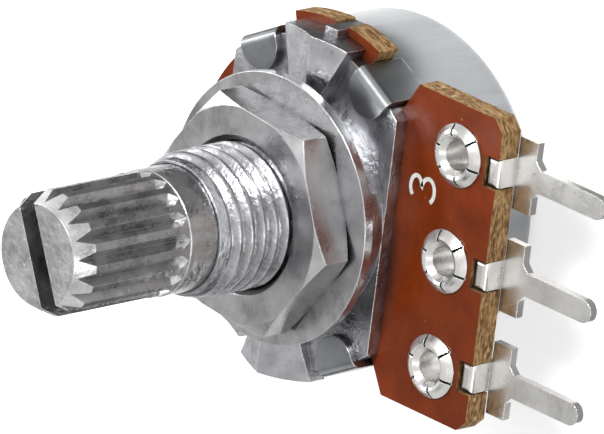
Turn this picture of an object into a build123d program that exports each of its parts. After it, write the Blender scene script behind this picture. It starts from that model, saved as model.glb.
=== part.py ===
# Rotary potentiometer: 16 mm panel type with a knurled split shaft and three straight board pins.
# A zinc casting with a threaded bushing and a drawn steel can clamp a phenolic wafer between them.
# Frame: origin at the centre of the can's flat back, +Z along the shaft towards its tip,
# -Y towards the terminals, +X towards terminal 3. Lengths are in millimetres, angles in degrees.
from build123d import *
from math import asin, cos, pi, radians, sin, sqrt, tan
import os

# Overall sizes
body_depth = 9.0            # back of the can to the mounting face
shaft_length = 15.0         # mounting face to the shaft's tip
can_diameter = 16.2

# Shaft
shaft_diameter = 5.95
bore_clearance = 0.05       # on the diameter
knurl_length = 6.85
knurl_drop = 0.04           # the teeth's crests lie this far inside the plain shaft
tooth_count = 18
tooth_depth = 0.42
tooth_crest = 0.32
tooth_runout = 0.5
first_groove = 3.0          # azimuth of one groove between the teeth
tip_chamfer_length = 0.95
tip_chamfer_depth = 0.51
slot_width = 1.0
slot_depth = 6.0
slot_azimuth = 27.0
drive_diameter = 4.4
drive_flats = 3.4
head_diameter = 5.2
head_height = 0.3

# Mechanical stop: a lug on the shaft's flange and a post in the casting
turn_travel = 300.0
rest_from_middle = 27.0     # the shaft stands this far past the middle of its travel
post_azimuth = -90.0
lug_half_angle = 13.8
stop_clearance = 0.2        # degrees
flange_diameter = 7.6
lug_reach = 4.5
pocket_diameter = 9.4
post_inner = 3.95
flange_gap = 0.08           # above and below the flange

# Threaded bushing, nut and washer
bushing_wall = 0.45
bushing_length = 6.5
nose_length = 1.0
nose_depth = 0.33
nut_flats = 10.0
nut_height = 2.0
nut_first_corner = 24.4
nut_thread_clearance = 0.06
nut_chamfer_angle = 25.0
nut_face_radius = 5.1
nut_mouth = 0.27
washer_diameter = 12.8
washer_thickness = 0.5
washer_clearance = 0.3

# Casting
pad_thickness = 0.7         # the low flats under the can's tabs
boss_rise = 1.6             # boss above those flats
boss_diameter = 10.8
boss_roof = 0.7             # metal between the pocket and the mounting face
plate_half_width = 5.4      # the plate's two straight edges
ridge_drop = 0.5            # roof ridge of the raised sectors below the mounting face
eave_drop = 1.2
eave_half_width = 2.15      # where the eaves' height is measured
sector_reach = 8.4
sector_inner_x = 4.6
sector_inner_half = 0.7
sector_outer_half = 2.35
ridge_y = -0.4
key_width = 0.8
key_reach = 8.7
key_y = -0.55

# Wafer
wafer_thickness = 1.2
wafer_inset = 0.25          # wafer's rim inside the can's outer face
tongue_half_width = 7.6
tongue_margin = 2.55        # rivet centre to the tongue's end
tongue_chamfer = 0.55
ear_reach = 8.8
ear_from = -21.0
ear_to = 17.0
wafer_clearance = 0.25      # on the diameter, round the shaft
notch_width = 1.5
notch_depth = 0.85

# Rivets and terminals
rivet_offset = 0.8          # rivet centres outside the can's wall
rivet_pitch = 5.15
rivet_flange = 3.0
rivet_barrel = 1.9
rivet_bore = 1.4
rivet_crown = 0.42
rivet_lip = 0.1             # thickness at the crown's rim
rivet_flare = 0.3
rivet_head = 0.25
petal_count = 6
petal_split = 0.12
lip_web = 0.04              # metal left under the splits
first_petal = 15.0
terminal_pitch = 5.0
terminal_sheet = 0.4
terminal_strip = 1.4
terminal_eye = 2.9
hem_length = 0.75
hem_drop = 0.12             # top of the hem below the wafer's front face
hem_setback = 0.05
shoulder_width = 3.5
shoulder_reach = 1.15       # beyond the tongue's end
pin_width = 1.1
pin_length = 4.6
pin_fillet = 0.35

# Can
can_sheet = 0.35
can_edge_radius = 0.9
tab_azimuth = 29.0          # either side of +X and -X
tab_width = 2.4
tab_reach = 1.45            # how far each tab lies over the plate
tab_clearance = 0.06
tab_bend = 0.5
relief_half_width = 6.1
relief_depth = 0.7          # below the terminals

# Resistive element on the wafer's back
film_thickness = 0.05
track_inner = 4.9
track_outer = 6.3
track_gap_half = 33.0
collector_inner = 3.3
collector_outer = 4.25
lead_width = 1.4
lead_overlap = 0.6

# Rotor behind the wafer
carrier_diameter = 13.4
carrier_thickness = 1.3
carrier_gap = 0.9           # carrier's front face to the films
carrier_edge = 0.15
drive_clearance = 0.02
wiper_sheet = 0.15
wiper_ring_inner = 3.0
wiper_ring_outer = 4.4
finger_width = 0.8
finger_length = 2.6
finger_gap = 0.02

# Levels and radii that follow
can_radius = can_diameter / 2
shaft_radius = shaft_diameter / 2
bore_radius = shaft_radius + bore_clearance / 2
bushing_radius = bore_radius + bushing_wall
mount_z = body_depth
tip_z = mount_z + shaft_length
bushing_top = mount_z + bushing_length
pad_z = mount_z - boss_rise
wafer_front = pad_z - pad_thickness
wafer_back = wafer_front - wafer_thickness
film_z = wafer_back - film_thickness
terminal_back = film_z - terminal_sheet
pocket_floor = mount_z - boss_roof
carrier_front = film_z - carrier_gap
carrier_back = carrier_front - carrier_thickness
knurl_start = tip_z - knurl_length
rivet_reach = can_radius + rivet_offset
tongue_end = rivet_reach + tongue_margin
shoulder_end = tongue_end + shoulder_reach
pin_end = shoulder_end + pin_length
tab_inner = can_radius - can_sheet
lug_azimuth = 90.0 + rest_from_middle
post_half_angle = (360.0 - turn_travel) / 2 - lug_half_angle - stop_clearance
big = 4 * can_diameter


def polar(radius, azimuth):
    return (radius * cos(radians(azimuth)), radius * sin(radians(azimuth)))


def prism(points, low, high):
    """Upright prism on a closed outline of straight edges."""
    outline = Polyline(*points, close=True)
    return Pos(0, 0, low) * extrude(make_face(outline), amount=high - low, dir=(0, 0, 1))


def drum(radius, low, high, x=0.0, y=0.0):
    return Pos(x, y, (low + high) / 2) * Cylinder(radius, high - low)


def slab(x_from, x_to, y_from, y_to, low, high):
    centre = ((x_from + x_to) / 2, (y_from + y_to) / 2, (low + high) / 2)
    return Pos(*centre) * Box(x_to - x_from, y_to - y_from, high - low)


def wedge(inner, outer, azimuth, half_angle, low, high):
    """Part of a ring, half_angle either side of azimuth."""
    far = outer / cos(radians(half_angle)) * 1.2
    corners = [(0, 0), polar(far, azimuth - half_angle), polar(far, azimuth + half_angle)]
    ring = drum(outer, low, high) - drum(inner, low, high)
    return ring & prism(corners, low, high)


def turned(points):
    """Solid of revolution about Z from an outline of (radius, height) points."""
    outline = Plane.XZ * Polyline(*points, close=True)
    return revolve(make_face(outline), Axis.Z)


def tab_places():
    return [tab_azimuth, 180 - tab_azimuth, 180 + tab_azimuth, -tab_azimuth]


def tab_notches(low, high):
    """Slots that let the can's tabs pass the rim of a plate."""
    start = tab_inner - tab_clearance
    half = tab_width / 2 + tab_clearance
    cutter = slab(start, big, -half, half, low, high)
    return [Rot(0, 0, azimuth) * cutter for azimuth in tab_places()]


def raised_sector():
    """Wedge of metal with a roof-shaped top, on the +X side."""
    outline = [
        (sector_inner_x, -sector_inner_half),
        (sector_reach, -sector_outer_half),
        (sector_reach + 1, -sector_outer_half),
        (sector_reach + 1, sector_outer_half),
        (sector_reach, sector_outer_half),
        (sector_inner_x, sector_inner_half),
    ]
    body = prism(outline, wafer_front, mount_z) & drum(sector_reach, wafer_front, mount_z)
    slope = (eave_drop - ridge_drop) / eave_half_width
    reach = 2 * eave_half_width
    roof = [
        (-reach, wafer_front),
        (reach, wafer_front),
        (reach, mount_z - ridge_drop - slope * (reach - ridge_y)),
        (ridge_y, mount_z - ridge_drop),
        (-reach, mount_z - ridge_drop - slope * (reach + ridge_y)),
    ]
    roof_face = make_face(Plane.YZ * Polyline(*roof, close=True))
    return body & extrude(roof_face, amount=big, dir=(1, 0, 0))


def front_plate():
    plate = drum(can_radius - wafer_inset, wafer_front, pad_z)
    plate &= slab(-big, big, -plate_half_width, plate_half_width, wafer_front, pad_z)
    plate -= tab_notches(wafer_front, pad_z)
    plate += drum(boss_diameter / 2, wafer_front, mount_z)
    for azimuth in (0, 180):
        plate += Rot(0, 0, azimuth) * raised_sector()
    half_key = key_width / 2
    key = slab(sector_reach - 1, key_reach, key_y - half_key, key_y + half_key, wafer_back, pad_z)
    plate += key
    nose_foot = bushing_top - nose_length
    plate += turned([
        (0, mount_z - boss_roof),
        (bushing_radius, mount_z - boss_roof),
        (bushing_radius, nose_foot),
        (bushing_radius - nose_depth, bushing_top),
        (0, bushing_top),
    ])
    plate -= drum(pocket_diameter / 2, wafer_front, pocket_floor)
    plate -= drum(bore_radius, wafer_front, bushing_top)
    post = wedge(post_inner, pocket_diameter / 2 + 0.1, post_azimuth, post_half_angle, wafer_front, pocket_floor)
    return plate + post


def groove_cutter():
    """V-shaped knife for one gap between two teeth, with a run-out at its rear end."""
    crest = shaft_radius - knurl_drop
    root = crest - tooth_depth
    gap = 2 * pi * crest / tooth_count - tooth_crest
    over = 2.0
    opening = gap / 2 * over
    top = root + tooth_depth * over
    corners = [(root, 0), (top, -opening), (top, opening)]
    start = knurl_start + tooth_runout
    knife = prism(corners, start, tip_z + 1)
    face = make_face(Polyline(*[(x, y, start) for x, y in corners], close=True))
    lift = tooth_depth + knurl_drop
    rear = make_face(Polyline(*[(x + lift, y, knurl_start) for x, y in corners], close=True))
    return knife + loft([face, rear])


def shaft_blank():
    """Turned form of the shaft: tip chamfer, knurl diameter, plain part and flange."""
    crest = shaft_radius - knurl_drop
    flange_low = wafer_front + flange_gap
    flange_high = pocket_floor - flange_gap
    return turned([
        (0, flange_low),
        (flange_diameter / 2, flange_low),
        (flange_diameter / 2, flange_high),
        (shaft_radius, flange_high),
        (shaft_radius, knurl_start),
        (crest, knurl_start + knurl_drop),
        (crest, tip_z - tip_chamfer_length),
        (crest - tip_chamfer_depth, tip_z),
        (0, tip_z),
    ])


def drive_section(clearance, low, high):
    """Round bar with two flats, square to the slot, that turns the wiper carrier."""
    half = drive_flats / 2 + clearance
    bar = drum(drive_diameter / 2 + clearance, low, high)
    return Rot(0, 0, slot_azimuth) * (bar & slab(-big, big, -half, half, low, high))


def shaft():
    blank = shaft_blank()
    cutter = groove_cutter()
    for tooth in range(tooth_count):
        blank -= Rot(0, 0, first_groove + 360 / tooth_count * tooth) * cutter
    half = slot_width / 2
    blank -= Rot(0, 0, slot_azimuth) * slab(-big, big, -half, half, tip_z - slot_depth, tip_z + 1)
    flange_low = wafer_front + flange_gap
    lug = wedge(shaft_radius, lug_reach, lug_azimuth, lug_half_angle, flange_low, pocket_floor - flange_gap)
    blank += lug
    blank += drive_section(0.0, carrier_back, flange_low)
    return blank + drum(head_diameter / 2, carrier_back - head_height, carrier_back)


def hex_nut():
    low = mount_z + washer_thickness
    high = low + nut_height
    bore = bushing_radius + nut_thread_clearance / 2
    corner = nut_flats / sqrt(3)
    drop = (corner - nut_face_radius) * tan(radians(nut_chamfer_angle))
    hexagon = RegularPolygon(radius=corner, side_count=6, rotation=nut_first_corner)
    nut = Pos(0, 0, low) * extrude(hexagon, amount=nut_height)
    nut &= turned([
        (bore, low + nut_mouth),
        (bore + nut_mouth, low),
        (nut_face_radius, low),
        (corner + 0.01, low + drop),
        (corner + 0.01, high - drop),
        (nut_face_radius, high),
        (bore + nut_mouth, high),
        (bore, high - nut_mouth),
    ])
    return nut


def flat_washer():
    top = mount_z + washer_thickness
    hole = bushing_radius + washer_clearance / 2
    return drum(washer_diameter / 2, mount_z, top) - drum(hole, mount_z, top)


def wafer_tongue():
    """Rectangular tail with cut corners that carries the rivets."""
    root = plate_half_width
    step = tongue_half_width - (can_radius - wafer_inset) * cos(asin(root / (can_radius - wafer_inset)))
    half = tongue_half_width
    right = [
        (half - step, -root + 0.6),
        (half, -root - 0.5),
        (half, -tongue_end + tongue_chamfer),
        (half - tongue_chamfer, -tongue_end),
    ]
    left = [(-x, y) for x, y in reversed(right)]
    return prism(right + left, wafer_back, wafer_front)


def wafer():
    board = drum(can_radius - wafer_inset, wafer_back, wafer_front)
    middle = (ear_from + ear_to) / 2
    board += wedge(can_radius - 1, ear_reach, middle, (ear_to - ear_from) / 2, wafer_back, wafer_front)
    board += wafer_tongue()
    board -= tab_notches(wafer_back, wafer_front)
    half_key = key_width / 2
    board -= slab(sector_reach - 1, big, key_y - half_key, key_y + half_key, wafer_back, wafer_front)
    board -= drum((shaft_diameter + wafer_clearance) / 2, wafer_back, wafer_front)
    half = notch_width / 2
    for place in (-1, 0, 1):
        x = place * terminal_pitch
        board -= slab(x - half, x + half, -big, -tongue_end + notch_depth, wafer_back, wafer_front)
        board -= drum(rivet_barrel / 2, wafer_back, wafer_front, place * rivet_pitch, -rivet_reach)
    return board


def rivet(place):
    """Tubular rivet: flat head behind the terminal, barrel, and a crown split into petals."""
    barrel = rivet_barrel / 2
    bore = rivet_bore / 2
    edge = rivet_flange / 2
    low = terminal_back - rivet_head
    crown = wafer_front + rivet_crown
    lip = wafer_front + rivet_lip
    throat = crown - rivet_flare
    middle = (edge + bore) / 2
    slope = (edge - bore) / 5
    body = turned([
        (bore, throat),
        (bore, low),
        (edge, low),
        (edge, terminal_back),
        (barrel, terminal_back),
        (barrel, wafer_front),
        (edge, wafer_front),
        (edge, lip),
        (middle + slope, crown - rivet_lip),
        (middle, crown),
        (middle - slope, crown - rivet_lip / 2),
    ])
    for petal in range(petal_count):
        slit = slab(barrel, 2 * edge, -petal_split / 2, petal_split / 2, wafer_front + lip_web, crown)
        body -= Rot(0, 0, first_petal + 360 / petal_count * petal) * slit
    return Pos(place * rivet_pitch, -rivet_reach, 0) * body


def terminal(place):
    """Strip from the rivet eye to the notch, hemmed up into it, then a shoulder and a pin."""
    x = place * terminal_pitch
    eye_x = place * rivet_pitch
    half = terminal_strip / 2
    eye = drum(terminal_eye / 2, terminal_back, film_z, eye_x, -rivet_reach)
    hem_start = -tongue_end + notch_depth - hem_setback
    strip = prism([(eye_x - half, -rivet_reach), (eye_x + half, -rivet_reach),
                   (x + half, hem_start), (x - half, hem_start)], terminal_back, film_z)
    hem_end = hem_start - hem_length
    hem = slab(x - half, x + half, hem_end, hem_start, terminal_back, wafer_front - hem_drop)
    hem = fillet(hem.edges().group_by(Axis.Z)[-1], hem_length / 3)
    wide = shoulder_width / 2
    neck = prism([(x - half, hem_start), (x + half, hem_start), (x + half, -tongue_end), (x + wide, -tongue_end),
                  (x + wide, -shoulder_end), (x - wide, -shoulder_end), (x - wide, -tongue_end),
                  (x - half, -tongue_end)], terminal_back, film_z)
    thin = pin_width / 2
    flare = pin_fillet
    pin = prism([(x - thin - flare, -shoulder_end), (x + thin + flare, -shoulder_end),
                 (x + thin, -shoulder_end - flare), (x + thin, -pin_end + thin), (x, -pin_end + thin),
                 (x - thin, -pin_end + thin), (x - thin, -shoulder_end - flare)], terminal_back, film_z)
    tip = drum(thin, terminal_back, film_z, x, -pin_end + thin)
    body = eye + strip + hem + neck + pin + tip
    return body - drum(rivet_barrel / 2, terminal_back, film_z, eye_x, -rivet_reach)


def carbon_track():
    ring = drum(track_outer, film_z, wafer_back) - drum(track_inner, film_z, wafer_back)
    return ring - wedge(0.1, track_outer + 1, post_azimuth, track_gap_half, film_z, wafer_back)


def end_pad(side):
    """Silver lead from one end of the track to the rivet eye on that side."""
    start = polar((track_inner + track_outer) / 2, post_azimuth + side * track_gap_half)
    finish = (side * rivet_pitch, -rivet_reach)
    along = Vector(*finish) - Vector(*start)
    across = Vector(-along.Y, along.X).normalized() * (lead_width / 2)
    corners = [Vector(*start) + across, Vector(*start) - across, Vector(*finish) - across, Vector(*finish) + across]
    lead = prism([(corner.X, corner.Y) for corner in corners], film_z, wafer_back)
    lead += drum(lead_width / 2, film_z, wafer_back, *start)
    lead += drum(terminal_eye / 2, film_z, wafer_back, *finish)
    lead -= drum(rivet_barrel / 2, film_z, wafer_back, *finish)
    return lead - carbon_track()


def collector_ring():
    """Inner ring that the wiper picks the signal up on, with its lead to the middle rivet."""
    ring = drum(collector_outer, film_z, wafer_back) - drum(collector_inner, film_z, wafer_back)
    middle = (collector_inner + collector_outer) / 2
    lead = slab(-lead_width / 2, lead_width / 2, -rivet_reach, -middle, film_z, wafer_back)
    eye = drum(terminal_eye / 2, film_z, wafer_back, 0, -rivet_reach)
    return ring + lead + eye - drum(rivet_barrel / 2, film_z, wafer_back, 0, -rivet_reach)


def wiper_carrier():
    """Moulded disc on the shaft's flats that carries the wiper spring."""
    disc = drum(carrier_diameter / 2, carrier_back, carrier_front)
    disc = chamfer(disc.edges().filter_by(GeomType.CIRCLE), carrier_edge)
    return disc - drive_section(drive_clearance, carrier_back, carrier_front)


def finger(radius):
    """Springy strip, square to a radius, that rises from the carrier to the films and dips at its end."""
    rise = film_z - finger_gap - wiper_sheet - carrier_front
    foot = carrier_front
    top = foot + rise
    tip = finger_length / 2
    lower = [(-tip, foot), (tip / 2, top), (tip, top - wiper_sheet)]
    upper = [(x, z + wiper_sheet) for x, z in reversed(lower)]
    profile = make_face(Plane.YZ * Polyline(*(lower + upper), close=True))
    strip = extrude(profile, amount=finger_width / 2, both=True, dir=(1, 0, 0))
    return Pos(radius, 0, 0) * strip


def wiper_spring():
    low = carrier_front
    high = low + wiper_sheet
    spring = drum(wiper_ring_outer, low, high) - drum(wiper_ring_inner, low, high)
    arm = slab(wiper_ring_inner, (track_inner + track_outer + finger_width) / 2,
               -finger_length / 2 - finger_width, -finger_length / 2, low, high)
    fingers = finger((track_inner + track_outer) / 2) + finger((collector_inner + collector_outer) / 2)
    return Rot(0, 0, lug_azimuth) * (spring + arm + fingers)


def tab():
    """One clamping tab in the XZ plane: up past the wafer and plate, bent in over the pad."""
    top = pad_z + can_sheet
    outer = can_radius
    inner = tab_inner
    end = can_radius - can_sheet - tab_reach + tab_width / 2
    foot = wafer_back - 0.5
    side = slab(inner, outer, -tab_width / 2, tab_width / 2, foot, top)
    over = slab(end, outer, -tab_width / 2, tab_width / 2, pad_z, top)
    over += drum(tab_width / 2, pad_z, top, end, 0)
    body = side + over
    edge = body.edges().filter_by(Axis.Y).sort_by(lambda e: e.center().X + e.center().Z)[-1]
    return fillet(edge, tab_bend)


def rear_cover():
    edge = can_edge_radius
    cup = drum(can_radius, 0, wafer_back)
    cup = fillet(cup.edges().group_by(Axis.Z)[0], edge)
    core = drum(tab_inner, can_sheet, wafer_back + 1)
    core = fillet(core.edges().group_by(Axis.Z)[0], edge - can_sheet)
    cup -= core
    cup -= slab(-relief_half_width, relief_half_width, -big, 0, terminal_back - relief_depth, wafer_back)
    for azimuth in tab_places():
        cup += Rot(0, 0, azimuth) * tab()
    return cup


nodes = {
    "front_plate": front_plate(),
    "shaft": shaft(),
    "hex_nut": hex_nut(),
    "flat_washer": flat_washer(),
    "wafer": wafer(),
    "carbon_track": carbon_track(),
    "end_pad_1": end_pad(-1),
    "end_pad_3": end_pad(1),
    "collector_ring": collector_ring(),
    "wiper_carrier": wiper_carrier(),
    "wiper_spring": wiper_spring(),
    "rear_cover": rear_cover(),
}
for number, place in ((1, -1), (2, 0), (3, 1)):
    nodes[f"rivet_{number}"] = rivet(place)
    nodes[f"terminal_{number}"] = terminal(place)

os.makedirs("parts", exist_ok=True)
for name, solid in nodes.items():
    export_step(solid, f"parts/{name}.step")
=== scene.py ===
import math

import bmesh
import bpy
import numpy as np
from mathutils import Matrix, Vector


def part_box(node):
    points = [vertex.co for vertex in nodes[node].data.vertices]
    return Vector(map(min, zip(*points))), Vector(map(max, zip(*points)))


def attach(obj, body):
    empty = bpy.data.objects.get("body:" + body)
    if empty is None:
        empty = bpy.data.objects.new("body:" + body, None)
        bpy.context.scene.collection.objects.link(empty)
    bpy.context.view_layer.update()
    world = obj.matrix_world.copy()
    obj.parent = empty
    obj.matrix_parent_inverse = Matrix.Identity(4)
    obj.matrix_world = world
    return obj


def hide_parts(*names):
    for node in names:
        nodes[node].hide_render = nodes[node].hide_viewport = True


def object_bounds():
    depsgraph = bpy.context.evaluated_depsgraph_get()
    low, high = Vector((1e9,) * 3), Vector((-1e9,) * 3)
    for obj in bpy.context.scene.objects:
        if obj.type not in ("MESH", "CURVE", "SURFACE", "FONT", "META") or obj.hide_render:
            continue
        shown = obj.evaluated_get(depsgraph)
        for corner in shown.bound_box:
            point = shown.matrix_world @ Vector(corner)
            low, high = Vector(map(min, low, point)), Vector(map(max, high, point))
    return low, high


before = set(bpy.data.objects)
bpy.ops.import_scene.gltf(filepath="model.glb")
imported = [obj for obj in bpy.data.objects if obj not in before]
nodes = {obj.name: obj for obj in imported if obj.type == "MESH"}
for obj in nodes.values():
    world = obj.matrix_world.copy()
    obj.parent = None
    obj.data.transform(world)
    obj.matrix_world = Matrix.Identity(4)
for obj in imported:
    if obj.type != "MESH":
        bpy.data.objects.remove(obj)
cadBox = [list(map(float, corner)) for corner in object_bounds()]
mm = 0.001


# Camera, floor and lights

camera = {
    "azimuth": -63.32,      # where the camera stands, in degrees from +X
    "elevation": 42.553,
    "roll": 7.102,
    "distance": 0.7716,     # metres
    "lens": 1000.0,         # millimetres
    "sensor": 36,
    "aim": (-0.00030, -0.00096, 0.00822),
}


def makeCamera(values):
    # The camera looks along minus (cos el cos az, cos el sin az, sin el), with +X to one side, then rolls
    # about that line.
    az, el, roll = (math.radians(values[k]) for k in ("azimuth", "elevation", "roll"))
    back = Vector((math.cos(el) * math.cos(az), math.cos(el) * math.sin(az), math.sin(el)))
    right = (-back).cross(Vector((1, 0, 0))).normalized()
    up = right.cross(-back)
    turnedRight = math.cos(roll) * right + math.sin(roll) * up
    turnedUp = -math.sin(roll) * right + math.cos(roll) * up
    data = bpy.data.cameras.new("camera")
    data.lens = values["lens"]
    data.sensor_width = values["sensor"]
    obj = bpy.data.objects.new("camera", data)
    bpy.context.scene.collection.objects.link(obj)
    place = Vector(values["aim"]) + back * values["distance"]
    turn = Matrix((turnedRight, turnedUp, back)).transposed()
    obj.matrix_world = Matrix.Translation(place) @ turn.to_4x4()
    bpy.context.scene.camera = obj


makeCamera(camera)
bpy.context.scene.view_settings.view_transform = "Standard"

studio = {
    "floorColour": (0.86, 0.86, 0.86, 1),
    "floorHalf": 3.0,            # metres
    "floorGap": 0.00002,         # below the object's lowest point
    "floorLift": 0.55,           # added for the camera and for reflections
    "worldStrength": 0.42,       # light on the object
    "key": {"place": (0.34, -0.10, 0.42), "size": 0.16, "watts": 2.4},
    "fill": {"place": (-0.05, -0.48, 0.22), "size": 0.30, "watts": 0.6},
    "rim": {"place": (0.10, 0.42, 0.30), "size": 0.26, "watts": 1.2},
}


def newNodes(material):
    material.use_nodes = True
    tree = material.node_tree
    tree.nodes.clear()
    return tree


def lightRays(tree):
    # One for rays from the camera, in reflections and through glass, and nought for the light on surfaces.
    rays = tree.nodes.new("ShaderNodeLightPath")
    first = tree.nodes.new("ShaderNodeMath")
    first.operation = "MAXIMUM"
    second = tree.nodes.new("ShaderNodeMath")
    second.operation = "MAXIMUM"
    tree.links.new(rays.outputs["Is Camera Ray"], first.inputs[0])
    tree.links.new(rays.outputs["Is Glossy Ray"], first.inputs[1])
    tree.links.new(first.outputs[0], second.inputs[0])
    tree.links.new(rays.outputs["Is Transmission Ray"], second.inputs[1])
    return second.outputs[0]


def makeWorld(values):
    world = bpy.data.worlds.new("world")
    bpy.context.scene.world = world
    tree = newNodes(world)
    out = tree.nodes.new("ShaderNodeOutputWorld")
    back = tree.nodes.new("ShaderNodeBackground")
    strength = tree.nodes.new("ShaderNodeMapRange")
    strength.inputs["To Min"].default_value = values["worldStrength"]
    strength.inputs["To Max"].default_value = 1.0
    tree.links.new(lightRays(tree), strength.inputs["Value"])
    tree.links.new(strength.outputs["Result"], back.inputs["Strength"])
    tree.links.new(back.outputs[0], out.inputs["Surface"])


def makeFloor(values):
    material = bpy.data.materials.new("paleFloor")
    tree = newNodes(material)
    out = tree.nodes.new("ShaderNodeOutputMaterial")
    skin = tree.nodes.new("ShaderNodeBsdfPrincipled")
    skin.inputs["Base Color"].default_value = values["floorColour"]
    skin.inputs["Roughness"].default_value = 0.9
    skin.inputs["Specular IOR Level"].default_value = 0.1
    skin.inputs["Emission Color"].default_value = (1, 1, 1, 1)
    lift = tree.nodes.new("ShaderNodeMath")
    lift.operation = "MULTIPLY"
    lift.inputs[1].default_value = values["floorLift"]
    tree.links.new(lightRays(tree), lift.inputs[0])
    tree.links.new(lift.outputs[0], skin.inputs["Emission Strength"])
    tree.links.new(skin.outputs[0], out.inputs["Surface"])
    mesh = bpy.data.meshes.new("floor")
    half = values["floorHalf"]
    corners = [(-half, -half, 0), (half, -half, 0), (half, half, 0), (-half, half, 0)]
    mesh.from_pydata(corners, [], [(0, 1, 2, 3)])
    floor = bpy.data.objects.new("floor", mesh)
    floor.location.z = cadBox[0][2] - values["floorGap"]
    mesh.materials.append(material)
    bpy.context.scene.collection.objects.link(floor)


def makeLamp(name, values):
    data = bpy.data.lights.new(name, "AREA")
    data.shape = "DISK"
    data.size = values["size"]
    data.energy = values["watts"]
    lamp = bpy.data.objects.new(name, data)
    lamp.location = values["place"]
    towards = Vector(camera["aim"]) - lamp.location
    lamp.rotation_euler = towards.to_track_quat("-Z", "Y").to_euler()
    bpy.context.scene.collection.objects.link(lamp)


# Grey cards that only reflections see, and that give the metal its dark bands.
cards = [
    {"place": (-0.049, -0.030, 0.0005), "turn": (0, 0, 15), "size": (0.076, 0.120), "tone": 0.12},
    {"place": (0.048, 0.004, 0.0005), "turn": (0, 0, 12), "size": (0.074, 0.100), "tone": 0.16},
    {"place": (0.012, -0.054, 0.0005), "turn": (0, 0, 20), "size": (0.024, 0.085), "tone": 0.34},
    {"place": (0.020, -0.0135, 0.0004), "turn": (0, 0, 0), "size": (0.022, 0.008), "tone": 0.30},
    {"place": (-0.060, 0.120, 0.120), "turn": (60, 0, 27), "size": (0.20, 0.12), "tone": 0.34},
    {"place": (-0.26, 0.05, 0.20), "turn": (0, 80, 0), "size": (0.10, 0.30), "tone": 0.06},
]


def makeCard(number, values):
    material = bpy.data.materials.new(f"card{number}")
    tree = newNodes(material)
    out = tree.nodes.new("ShaderNodeOutputMaterial")
    glow = tree.nodes.new("ShaderNodeEmission")
    glow.inputs["Color"].default_value = (values["tone"],) * 3 + (1,)
    tree.links.new(glow.outputs[0], out.inputs["Surface"])
    w, h = (v / 2 for v in values["size"])
    mesh = bpy.data.meshes.new(f"card{number}")
    mesh.from_pydata([(-w, -h, 0), (w, -h, 0), (w, h, 0), (-w, h, 0)], [], [(0, 1, 2, 3)])
    card = bpy.data.objects.new(f"card{number}", mesh)
    card.location = values["place"]
    card.rotation_euler = [math.radians(a) for a in values["turn"]]
    mesh.materials.append(material)
    card.visible_camera = False
    card.visible_diffuse = False
    card.visible_shadow = False
    card.visible_transmission = False
    bpy.context.scene.collection.objects.link(card)


makeWorld(studio)
makeFloor(studio)
for name in ("key", "fill", "rim"):
    makeLamp(name, studio[name])
for number, card in enumerate(cards):
    makeCard(number, card)
print("camera, floor and lights are set")


# Shared effects, as node groups

def newGroup(name, inputs, outputs):
    group = bpy.data.node_groups.new(name, "ShaderNodeTree")
    for label, kind, value in inputs:
        socket = group.interface.new_socket(label, in_out="INPUT", socket_type=kind)
        socket.default_value = value
    for label, kind in outputs:
        group.interface.new_socket(label, in_out="OUTPUT", socket_type=kind)
    start = group.nodes.new("NodeGroupInput")
    end = group.nodes.new("NodeGroupOutput")
    return group, start, end


def put(tree, kind, values=None, links=None, **settings):
    # Adds a node, sets its fields, its socket values and what feeds it.
    node = tree.nodes.new(kind)
    for key, value in settings.items():
        setattr(node, key, value)
    for key, value in (values or {}).items():
        node.inputs[key].default_value = value
    for key, source in (links or {}).items():
        tree.links.new(source, node.inputs[key])
    return node


def makeGrain():
    # Height is fine noise plus half as much coarse noise; Tone is slow noise that shades the colour.
    group, start, end = newGroup(
        "grain",
        [("Fine Scale", "NodeSocketFloat", 4000.0), ("Coarse Scale", "NodeSocketFloat", 500.0),
         ("Stretch", "NodeSocketVector", (1.0, 1.0, 1.0))],
        [("Height", "NodeSocketFloat"), ("Tone", "NodeSocketFloat")],
    )
    place = put(group, "ShaderNodeTexCoord")
    stretched = put(group, "ShaderNodeVectorMath",
                    links={0: place.outputs["Object"], 1: start.outputs["Stretch"]}, operation="MULTIPLY")
    fine = put(group, "ShaderNodeTexNoise", {"Detail": 3.0},
               {"Vector": stretched.outputs[0], "Scale": start.outputs["Fine Scale"]})
    coarse = put(group, "ShaderNodeTexNoise", {"Detail": 4.0, "Roughness": 0.6},
                 {"Vector": stretched.outputs[0], "Scale": start.outputs["Coarse Scale"]})
    height = put(group, "ShaderNodeMath", {1: 0.5}, {0: coarse.outputs["Fac"], 2: fine.outputs["Fac"]},
                 operation="MULTIPLY_ADD")
    group.links.new(height.outputs[0], end.inputs["Height"])
    group.links.new(coarse.outputs["Fac"], end.inputs["Tone"])
    return group


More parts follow.
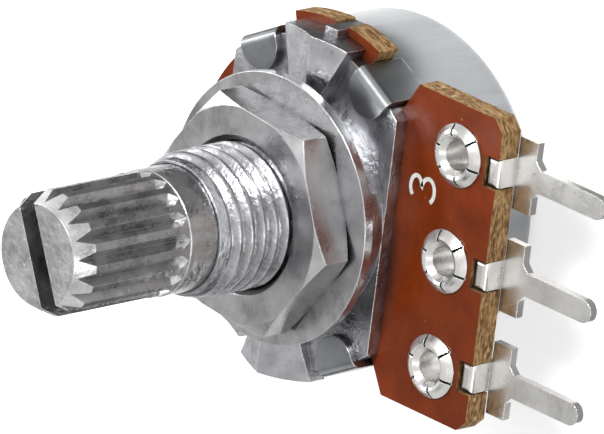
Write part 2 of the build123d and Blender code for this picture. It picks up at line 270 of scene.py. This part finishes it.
def makeEdgeWear():
    # Mask is one where the rounded normal leaves the flat one, so at the edges, broken up by noise.
    group, start, end = newGroup(
        "edgeWear",
        [("Radius", "NodeSocketFloat", 0.00012), ("Gain", "NodeSocketFloat", 6.0),
         ("Break Up", "NodeSocketFloat", 0.5)],
        [("Mask", "NodeSocketFloat")],
    )
    rounded = put(group, "ShaderNodeBevel", links={"Radius": start.outputs["Radius"]}, samples=4)
    flat = put(group, "ShaderNodeNewGeometry")
    same = put(group, "ShaderNodeVectorMath", links={0: rounded.outputs[0], 1: flat.outputs["Normal"]},
               operation="DOT_PRODUCT")
    apart = put(group, "ShaderNodeMath", {0: 1.0}, {1: same.outputs["Value"]}, operation="SUBTRACT")
    place = put(group, "ShaderNodeTexCoord")
    noise = put(group, "ShaderNodeTexNoise", {"Scale": 900.0, "Detail": 4.0},
                {"Vector": place.outputs["Object"]})
    broken = put(group, "ShaderNodeMix", {"A": 1.0},
                 {"Factor": start.outputs["Break Up"], "B": noise.outputs["Fac"]}, data_type="FLOAT")
    gained = put(group, "ShaderNodeMath", links={0: apart.outputs[0], 1: start.outputs["Gain"]},
                 operation="MULTIPLY")
    mask = put(group, "ShaderNodeMath", links={0: gained.outputs[0], 1: broken.outputs["Result"]},
               operation="MULTIPLY", use_clamp=True)
    group.links.new(mask.outputs[0], end.inputs["Mask"])
    return group


def makeScuffs():
    # Mask is one in small scattered pits and nicks: cells of a Voronoi pattern, picked out where slow noise
    # is high.
    group, start, end = newGroup(
        "scuffs",
        [("Scale", "NodeSocketFloat", 1500.0), ("Size", "NodeSocketFloat", 0.12),
         ("Spread", "NodeSocketFloat", 0.5)],
        [("Mask", "NodeSocketFloat")],
    )
    place = put(group, "ShaderNodeTexCoord")
    cells = put(group, "ShaderNodeTexVoronoi",
                links={"Vector": place.outputs["Object"], "Scale": start.outputs["Scale"]})
    slow = put(group, "ShaderNodeTexNoise", {"Scale": 350.0, "Detail": 2.0},
               {"Vector": place.outputs["Object"]})
    near = put(group, "ShaderNodeMapRange", {"From Min": 0.0, "To Min": 1.0, "To Max": 0.0},
               {"Value": cells.outputs["Distance"], "From Max": start.outputs["Size"]})
    where = put(group, "ShaderNodeMath", links={0: slow.outputs["Fac"], 1: start.outputs["Spread"]},
                operation="GREATER_THAN")
    mask = put(group, "ShaderNodeMath", links={0: near.outputs["Result"], 1: where.outputs[0]},
               operation="MULTIPLY", use_clamp=True)
    group.links.new(mask.outputs[0], end.inputs["Mask"])
    return group


def makePaintedShade():
    # Mask of painted shade: it rises where nearby surfaces, within the reach, shut a point in: corners,
    # grooves and under edges.
    group, start, end = newGroup(
        "paintedShade",
        [("Reach", "NodeSocketFloat", 0.0006), ("Gain", "NodeSocketFloat", 1.4),
         ("Start", "NodeSocketFloat", 0.25)],
        [("Mask", "NodeSocketFloat")],
    )
    seen = put(group, "ShaderNodeAmbientOcclusion", links={"Distance": start.outputs["Reach"]}, samples=6)
    shut = put(group, "ShaderNodeMath", {0: 1.0}, {1: seen.outputs["AO"]}, operation="SUBTRACT")
    later = put(group, "ShaderNodeMath", links={0: shut.outputs[0], 1: start.outputs["Start"]},
                operation="SUBTRACT")
    mask = put(group, "ShaderNodeMath", links={0: later.outputs[0], 1: start.outputs["Gain"]},
               operation="MULTIPLY", use_clamp=True)
    group.links.new(mask.outputs[0], end.inputs["Mask"])
    return group


groups = {"grain": makeGrain(), "edgeWear": makeEdgeWear(), "scuffs": makeScuffs(), "paintedShade": makePaintedShade()}


def effect(tree, name, values=None):
    node = put(tree, "ShaderNodeGroup", node_tree=groups[name])
    for key, value in (values or {}).items():
        node.inputs[key].default_value = value
    return node


def blendColour(tree, factor, first, second):
    # Mix of two colours, each a socket or a fixed value.
    node = put(tree, "ShaderNodeMix", data_type="RGBA")
    tree.links.new(factor, node.inputs["Factor"])
    for key, value in (("A", first), ("B", second)):
        socket = [s for s in node.inputs if s.name == key and s.type == "RGBA"][0]
        if hasattr(value, "is_linked"):
            tree.links.new(value, socket)
        else:
            socket.default_value = (*value, 1)
    return [s for s in node.outputs if s.type == "RGBA"][0]


def rescale(tree, source, low, high, fromLow=0.3, fromHigh=0.7):
    node = put(tree, "ShaderNodeMapRange",
               {"From Min": fromLow, "From Max": fromHigh, "To Min": low, "To Max": high}, {"Value": source})
    return node.outputs["Result"]


metalDefaults = {
    "stretch": (1, 1, 1), "wearGain": 6.0, "pitDepth": 0.6,
    # The next three values set the painted shade in corners and between parts: its strength, its reach and
    # its near-black colour.
    "paintedShade": 1.3, "paintedShadeReach": 0.6, "paintedShadeColour": (0.035, 0.033, 0.032),    # reach in millimetres
}


def metal(name, finish):
    # Metal whose colour drifts between two tones, with grain, pits, brighter worn edges and painted shade
    # darkening its corners.
    values = {**metalDefaults, **finish}
    material = bpy.data.materials.new(name)
    tree = newNodes(material)
    out = put(tree, "ShaderNodeOutputMaterial")
    skin = put(tree, "ShaderNodeBsdfPrincipled", {"Metallic": 1.0})
    grain = effect(tree, "grain", {"Fine Scale": values["fine"], "Coarse Scale": values["coarse"],
                                   "Stretch": values["stretch"]})
    wear = effect(tree, "edgeWear", {"Radius": values["edge"] * mm, "Gain": values["wearGain"]})
    pits = effect(tree, "scuffs", {"Scale": values["pitScale"], "Size": values["pitSize"],
                                   "Spread": values["pitSpread"]})
    tone = rescale(tree, grain.outputs["Tone"], 0, 1)
    colour = blendColour(tree, tone, values["dark"], values["light"])
    colour = blendColour(tree, wear.outputs["Mask"], colour, values["worn"])
    colour = blendColour(tree, pits.outputs["Mask"], colour, values["pit"])
    # Painted shade: the colour is darkened towards near-black in corners, grooves and where parts meet.
    paintedShade = effect(tree, "paintedShade", {"Reach": values["paintedShadeReach"] * mm, "Gain": values["paintedShade"]})
    colour = blendColour(tree, paintedShade.outputs["Mask"], colour, values["paintedShadeColour"])
    rough = rescale(tree, grain.outputs["Tone"], values["rough"][0], values["rough"][1])
    bevel = put(tree, "ShaderNodeBevel", {"Radius": values["edge"] * mm}, samples=4)
    sunk = put(tree, "ShaderNodeMath", {1: -values["pitDepth"]},
               {0: pits.outputs["Mask"], 2: grain.outputs["Height"]}, operation="MULTIPLY_ADD")
    bump = put(tree, "ShaderNodeBump", {"Strength": values["bump"], "Distance": values["depth"] * mm},
               {"Height": sunk.outputs[0], "Normal": bevel.outputs[0]})
    tree.links.new(colour, skin.inputs["Base Color"])
    tree.links.new(rough, skin.inputs["Roughness"])
    tree.links.new(bump.outputs[0], skin.inputs["Normal"])
    tree.links.new(skin.outputs[0], out.inputs["Surface"])
    return material


def dress(node, material):
    for slot in nodes[node].material_slots:
        slot.material = material


castZinc = {
    "dark": (0.32, 0.32, 0.34), "light": (0.56, 0.56, 0.58),
    "worn": (0.85, 0.85, 0.86), "pit": (0.22, 0.22, 0.23),
    "rough": (0.24, 0.40), "fine": 3600.0, "coarse": 800.0, "edge": 0.06, "bump": 0.8, "depth": 0.05,
    "pitScale": 1700.0, "pitSize": 0.16, "pitSpread": 0.55,
}
shaftZinc = {
    "dark": (0.36, 0.36, 0.37), "light": (0.66, 0.66, 0.67),
    "worn": (0.90, 0.90, 0.90), "pit": (0.28, 0.28, 0.29),
    "rough": (0.22, 0.36), "fine": 3400.0, "coarse": 900.0, "edge": 0.05, "bump": 0.8, "depth": 0.05,
    "pitScale": 1500.0, "pitSize": 0.20, "pitSpread": 0.58, "paintedShade": 0.7, "paintedShadeReach": 0.5,
}
nickel = {
    "dark": (0.40, 0.40, 0.41), "light": (0.60, 0.60, 0.61),
    "worn": (0.92, 0.92, 0.92), "pit": (0.35, 0.35, 0.35),
    "rough": (0.22, 0.36), "fine": 3000.0, "coarse": 620.0, "edge": 0.08, "bump": 0.60, "depth": 0.02,
    "pitScale": 900.0, "pitSize": 0.10, "pitSpread": 0.60, "paintedShade": 1.0,
}
canSteel = {
    "dark": (0.24, 0.25, 0.26), "light": (0.38, 0.39, 0.40),
    "worn": (0.80, 0.80, 0.81), "pit": (0.30, 0.30, 0.30),
    "rough": (0.22, 0.34), "fine": 2600.0, "coarse": 300.0, "stretch": (1.0, 1.0, 0.12),
    "edge": 0.08, "bump": 0.10, "depth": 0.02,
    "pitScale": 700.0, "pitSize": 0.06, "pitSpread": 0.62,
}
tinPlate = {
    "dark": (0.66, 0.65, 0.62), "light": (0.82, 0.81, 0.79),
    "worn": (0.93, 0.93, 0.92), "pit": (0.45, 0.42, 0.36),
    "rough": (0.20, 0.36), "fine": 3600.0, "coarse": 600.0, "edge": 0.05, "bump": 0.18, "depth": 0.02,
    "pitScale": 1400.0, "pitSize": 0.12, "pitSpread": 0.58,
}

zincMaterial = metal("castZinc", castZinc)
canMaterial = metal("canSteel", canSteel)
tinMaterial = metal("tinPlate", tinPlate)
nickelMaterial = metal("nickelPlate", nickel)
shaftMaterial = metal("shaftZinc", shaftZinc)
dress("shaft", shaftMaterial)
dress("hex_nut", nickelMaterial)
dress("flat_washer", nickelMaterial)
dress("rear_cover", canMaterial)
for number in (1, 2, 3):
    dress(f"rivet_{number}", tinMaterial)
    dress(f"terminal_{number}", tinMaterial)


# Terminal board

board = {
    "brown": (0.205, 0.032, 0.004), "deep": (0.120, 0.017, 0.002),
    "tan": (0.42, 0.27, 0.12), "tanDark": (0.13, 0.055, 0.018), "chip": (0.62, 0.47, 0.28),
    # shade is the near-black of the painted shade in the board's corners and under the parts on it.
    "shade": (0.020, 0.006, 0.003),
    "grain": {"Fine Scale": 3800.0, "Coarse Scale": 520.0},
    "fibres": {"Fine Scale": 2600.0, "Coarse Scale": 900.0, "Stretch": (1.0, 1.0, 3.0)},
    "chips": {"Scale": 2200.0, "Size": 0.35, "Spread": 0.48},
    "specks": {"Scale": 1300.0, "Size": 0.10, "Spread": 0.57},
    "paintedShade": {"Reach": 1.2 * mm, "Gain": 1.6, "Start": 0.3},
    "upright": 0.6,                    # a normal more upright than this belongs to a face
    "edgeRough": 0.75, "faceRough": 0.30, "coat": 0.12, "coatRough": 0.15,
    "faceRelief": 0.10, "bump": 1.0, "depth": 0.14,
}


def boardMaterial(values):
    # Lacquered brown faces; the punched edges are tan and fibrous, told apart by the normal's upright part.
    material = bpy.data.materials.new("phenolicBoard")
    tree = newNodes(material)
    out = put(tree, "ShaderNodeOutputMaterial")
    skin = put(tree, "ShaderNodeBsdfPrincipled",
               {"IOR": 1.45, "Coat Roughness": values["coatRough"], "Specular IOR Level": 0.18})
    place = put(tree, "ShaderNodeTexCoord")
    parts = put(tree, "ShaderNodeSeparateXYZ", links={0: place.outputs["Normal"]})
    upright = put(tree, "ShaderNodeMath", links={0: parts.outputs["Z"]}, operation="ABSOLUTE")
    face = put(tree, "ShaderNodeMath", {1: values["upright"]}, {0: upright.outputs[0]},
               operation="GREATER_THAN")
    grain = effect(tree, "grain", values["grain"])
    fibres = effect(tree, "grain", values["fibres"])
    chips = effect(tree, "scuffs", values["chips"])
    specks = effect(tree, "scuffs", values["specks"])
    drift = rescale(tree, grain.outputs["Tone"], 0, 1)
    faceColour = blendColour(tree, drift, values["deep"], values["brown"])
    faceColour = blendColour(tree, specks.outputs["Mask"], faceColour, values["tan"])
    streaks = rescale(tree, fibres.outputs["Height"], 0, 1, 0.6, 0.9)
    edgeColour = blendColour(tree, streaks, values["tanDark"], values["tan"])
    edgeColour = blendColour(tree, chips.outputs["Mask"], edgeColour, values["chip"])
    colour = blendColour(tree, face.outputs[0], edgeColour, faceColour)
    # Painted shade: the colour is darkened towards near-black where nearby parts close the board in.
    paintedShade = effect(tree, "paintedShade", values["paintedShade"])
    colour = blendColour(tree, paintedShade.outputs["Mask"], colour, values["shade"])
    rough = put(tree, "ShaderNodeMapRange", {"To Min": values["edgeRough"], "To Max": values["faceRough"]},
                {"Value": face.outputs[0]})
    coat = put(tree, "ShaderNodeMath", {1: values["coat"]}, {0: face.outputs[0]}, operation="MULTIPLY")
    heights = put(tree, "ShaderNodeMix", data_type="FLOAT")
    tree.links.new(face.outputs[0], heights.inputs["Factor"])
    tree.links.new(fibres.outputs["Height"], heights.inputs["A"])
    soft = put(tree, "ShaderNodeMath", {1: values["faceRelief"]}, {0: grain.outputs["Height"]},
               operation="MULTIPLY")
    tree.links.new(soft.outputs[0], heights.inputs["B"])
    bump = put(tree, "ShaderNodeBump", {"Strength": values["bump"], "Distance": values["depth"] * mm},
               {"Height": heights.outputs["Result"]})
    tree.links.new(colour, skin.inputs["Base Color"])
    tree.links.new(rough.outputs[0], skin.inputs["Roughness"])
    tree.links.new(coat.outputs[0], skin.inputs["Coat Weight"])
    tree.links.new(bump.outputs[0], skin.inputs["Normal"])
    tree.links.new(skin.outputs[0], out.inputs["Surface"])
    return material


dress("wafer", boardMaterial(board))


# Inner parts, seen only through the gap under the terminals

innerParts = {
    "carbon": {"colour": (0.02, 0.02, 0.022), "tint": (0.045, 0.045, 0.045),
               "rough": (0.5, 0.7), "metallic": 0.0},
    "silver": {"colour": (0.50, 0.50, 0.48), "tint": (0.62, 0.62, 0.60),
               "rough": (0.4, 0.55), "metallic": 0.7},
    "nylon": {"colour": (0.03, 0.03, 0.03), "tint": (0.06, 0.06, 0.06),
              "rough": (0.4, 0.55), "metallic": 0.0},
    "bronze": {"colour": (0.48, 0.29, 0.14), "tint": (0.62, 0.40, 0.22),
               "rough": (0.25, 0.4), "metallic": 1.0},
}


def plainMaterial(name, values):
    material = bpy.data.materials.new(name)
    tree = newNodes(material)
    out = put(tree, "ShaderNodeOutputMaterial")
    skin = put(tree, "ShaderNodeBsdfPrincipled", {"Metallic": values["metallic"]})
    grain = effect(tree, "grain", {"Fine Scale": 3000.0, "Coarse Scale": 700.0})
    colour = blendColour(tree, rescale(tree, grain.outputs["Tone"], 0, 1), values["colour"], values["tint"])
    bump = put(tree, "ShaderNodeBump", {"Strength": 0.2, "Distance": 0.01 * mm},
               {"Height": grain.outputs["Height"]})
    tree.links.new(colour, skin.inputs["Base Color"])
    tree.links.new(rescale(tree, grain.outputs["Tone"], *values["rough"]), skin.inputs["Roughness"])
    tree.links.new(bump.outputs[0], skin.inputs["Normal"])
    tree.links.new(skin.outputs[0], out.inputs["Surface"])
    return material


dress("carbon_track", plainMaterial("carbonInk", innerParts["carbon"]))
silverInk = plainMaterial("silverInk", innerParts["silver"])
for name in ("collector_ring", "end_pad_1", "end_pad_3"):
    dress(name, silverInk)
dress("wiper_carrier", plainMaterial("blackNylon", innerParts["nylon"]))
dress("wiper_spring", plainMaterial("springBronze", innerParts["bronze"]))
print("materials are on the frame's parts")


# New surfaces

def gridMesh(name, points, closeU, closeV, material):
    # Mesh from an array of points [u, v, xyz]; each pair of neighbours in u and v makes a face.
    nu, nv = points.shape[:2]
    index = np.arange(nu * nv).reshape(nu, nv)
    if closeU:
        index = np.vstack([index, index[:1]])
    if closeV:
        index = np.hstack([index, index[:, :1]])
    faces = np.stack([index[:-1, :-1], index[1:, :-1], index[1:, 1:], index[:-1, 1:]], axis=-1).reshape(-1, 4)
    mesh = bpy.data.meshes.new(name)
    mesh.from_pydata(points.reshape(-1, 3).tolist(), [], faces.tolist())
    mesh.materials.append(material)
    obj = bpy.data.objects.new(name, mesh)
    bpy.context.scene.collection.objects.link(obj)
    return obj


def outwards(obj):
    work = bmesh.new()
    work.from_mesh(obj.data)
    bmesh.ops.recalc_face_normals(work, faces=work.faces)
    work.to_mesh(obj.data)
    work.free()


def smooth(obj, degrees):
    # Smooth shading, with edges kept sharp where the faces meet at more than this angle.
    work = bmesh.new()
    work.from_mesh(obj.data)
    limit = math.radians(degrees)
    for face in work.faces:
        face.smooth = True
    for edge in work.edges:
        edge.smooth = len(edge.link_faces) == 2 and edge.calc_face_angle(0) < limit
    work.to_mesh(obj.data)
    work.free()


# Bushing thread

bushing = {
    "crest": 3.45, "root": 3.12, "pitch": 0.75, "start": 9.02, "end": 15.5,
    "noseStart": 14.5, "noseRadius": 3.12, "bore": 3.0,
    "crestShare": 0.22, "rootShare": 0.18,    # parts of the pitch that are flat
    "fadeIn": 0.3,                            # height over which the thread deepens from nothing
    "around": 144, "alongPerPitch": 14,
    "sharpAbove": 38,                         # degrees between faces
}
casting = {"sharpAbove": 30}


def threadedBushing(values, material):
    # Tube whose outer radius is a function of angle and height: how far height - pitch * angle / full turn
    # lies from the nearest crest sets the depth of a flat-topped V, and the nose's cone cuts it off.
    turns = (values["end"] - values["start"]) / values["pitch"]
    rows = int(turns * values["alongPerPitch"])
    height = np.linspace(values["start"], values["end"], rows)
    angle = np.linspace(0, 2 * np.pi, values["around"], endpoint=False)
    a, z = np.meshgrid(angle, height)
    phase = np.mod(z / values["pitch"] - a / (2 * np.pi), 1.0)
    fromCrest = np.abs(phase - 0.5) * 2
    low = values["crestShare"]
    high = 1 - values["rootShare"]
    depth = np.clip((fromCrest - low) / (high - low), 0, 1)
    radius = values["crest"] - (values["crest"] - values["root"]) * depth
    fade = np.clip((z - values["start"]) / values["fadeIn"], 0, 1)
    radius = values["crest"] - (values["crest"] - radius) * fade
    slope = (values["crest"] - values["noseRadius"]) / (values["end"] - values["noseStart"])
    cone = values["crest"] - slope * np.clip(z - values["noseStart"], 0, None)
    radius = np.minimum(radius, cone)
    outer = np.stack([radius * np.cos(a), radius * np.sin(a), z], axis=-1)
    bore = np.full_like(a[:2], values["bore"])
    ends = np.array([values["end"], values["start"]])[:, None] * np.ones_like(bore)
    inner = np.stack([bore * np.cos(a[:2]), bore * np.sin(a[:2]), ends], axis=-1)
    obj = gridMesh("bushingThread", np.concatenate([outer, inner]) * mm, True, True, material)
    outwards(obj)
    smooth(obj, values["sharpAbove"])
    return obj


def castingWithoutBushing(values, cutHeight, material):
    # Copy of the casting, cut off just above its boss and closed again.
    source = nodes["front_plate"]
    mesh = source.data.copy()
    mesh.name = "casting"
    work = bmesh.new()
    work.from_mesh(mesh)
    bmesh.ops.remove_doubles(work, verts=work.verts, dist=1e-7)
    everything = work.verts[:] + work.edges[:] + work.faces[:]
    cut = bmesh.ops.bisect_plane(work, geom=everything, dist=1e-8,
                                 plane_co=(0, 0, cutHeight * mm), plane_no=(0, 0, 1), clear_outer=True)
    rim = [e for e in cut["geom_cut"] if isinstance(e, bmesh.types.BMEdge)]
    bmesh.ops.triangle_fill(work, edges=rim, use_beauty=True, normal=(0, 0, 1))
    bmesh.ops.recalc_face_normals(work, faces=work.faces)
    work.to_mesh(mesh)
    work.free()
    obj = bpy.data.objects.new("casting", mesh)
    bpy.context.scene.collection.objects.link(obj)
    mesh.materials.clear()
    mesh.materials.append(material)
    smooth(obj, values["sharpAbove"])
    return obj


thread = threadedBushing(bushing, zincMaterial)
body = castingWithoutBushing(casting, bushing["start"], zincMaterial)
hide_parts("front_plate")
for piece in (thread, body):
    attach(piece, "housing")
print("the bushing has its thread")


# Marks printed on the board

marks = {
    "three": {"middle": (2.85, -6.90), "height": 1.55, "width": 1.15, "stroke": 0.20},
    "one": {"middle": (2.65, 6.55), "height": 1.10, "width": 0.38, "stroke": 0.20},
    "arc": 240,             # degrees that each half of the three runs through
    "upperShare": 0.46,     # of half the height, for the three's upper arc
    "upperWidth": 0.9,      # of the lower arc's width
    "thickness": 0.012,
    "colour": (0.80, 0.80, 0.76),
    "thin": (0.64, 0.64, 0.608),
}


def threePath(values):
    # Two arcs, one above the other, each point at (wide cos angle, middle + tall sin angle).
    half = values["height"] / 2
    upper = marks["upperShare"] * half
    lower = half - upper
    wide = values["width"] / 2
    t = np.linspace(0, 1, 28)
    first = np.radians(150 - marks["arc"] * t)
    second = np.radians(90 - marks["arc"] * t)
    narrow = wide * marks["upperWidth"]
    top = np.stack([narrow * np.cos(first), half - upper + upper * np.sin(first)], axis=-1)
    bottom = np.stack([wide * np.cos(second), -half + lower + lower * np.sin(second)], axis=-1)
    return np.concatenate([top, bottom[1:]])


def onePath(values):
    # A short flag that rises to the top of an upright stroke.
    half = values["height"] / 2
    t = np.linspace(0, 1, 8)[:, None]
    flag = np.array([-values["width"], half * 0.5]) * (1 - t) + np.array([0, half]) * t
    stroke = np.array([0, half]) * (1 - t) + np.array([0, -half]) * t
    return np.concatenate([flag, stroke[1:]])


def printedMark(name, path, values, boardTop, material):
    # Ribbon of constant width along a flat path, with a thin box section whose two ends close to a line.
    along = np.gradient(path, axis=0)
    along /= np.linalg.norm(along, axis=1, keepdims=True)
    side = np.stack([-along[:, 1], along[:, 0]], axis=-1) * values["stroke"] / 2
    left = path + side + values["middle"]
    right = path - side + values["middle"]
    low = np.full((len(path), 1), boardTop)
    high = low + marks["thickness"]
    ring = np.stack([np.hstack([left, low]), np.hstack([right, low]),
                     np.hstack([right, high]), np.hstack([left, high])], axis=1)
    tips = np.stack([ring[0].mean(axis=0, keepdims=True).repeat(4, axis=0),
                     ring[-1].mean(axis=0, keepdims=True).repeat(4, axis=0)])
    rings = np.concatenate([tips[:1], ring, tips[1:]])
    obj = gridMesh(name, rings * mm, False, True, material)
    work = bmesh.new()
    work.from_mesh(obj.data)
    bmesh.ops.remove_doubles(work, verts=work.verts, dist=1e-8)
    bmesh.ops.recalc_face_normals(work, faces=work.faces)
    work.to_mesh(obj.data)
    work.free()
    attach(obj, "housing")


def printInk(values):
    material = bpy.data.materials.new("whiteInk")
    tree = newNodes(material)
    out = put(tree, "ShaderNodeOutputMaterial")
    skin = put(tree, "ShaderNodeBsdfPrincipled", {"Roughness": 0.55})
    grain = effect(tree, "grain", {"Fine Scale": 6000.0, "Coarse Scale": 2500.0})
    colour = blendColour(tree, rescale(tree, grain.outputs["Tone"], 0, 1), values["thin"], values["colour"])
    tree.links.new(colour, skin.inputs["Base Color"])
    tree.links.new(skin.outputs[0], out.inputs["Surface"])
    return material


inkMaterial = printInk(marks)
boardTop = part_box("wafer")[1].z / mm
printedMark("numeralThree", threePath(marks["three"]), marks["three"], boardTop, inkMaterial)
printedMark("numeralOne", onePath(marks["one"]), marks["one"], boardTop, inkMaterial)
print("the numerals are printed")
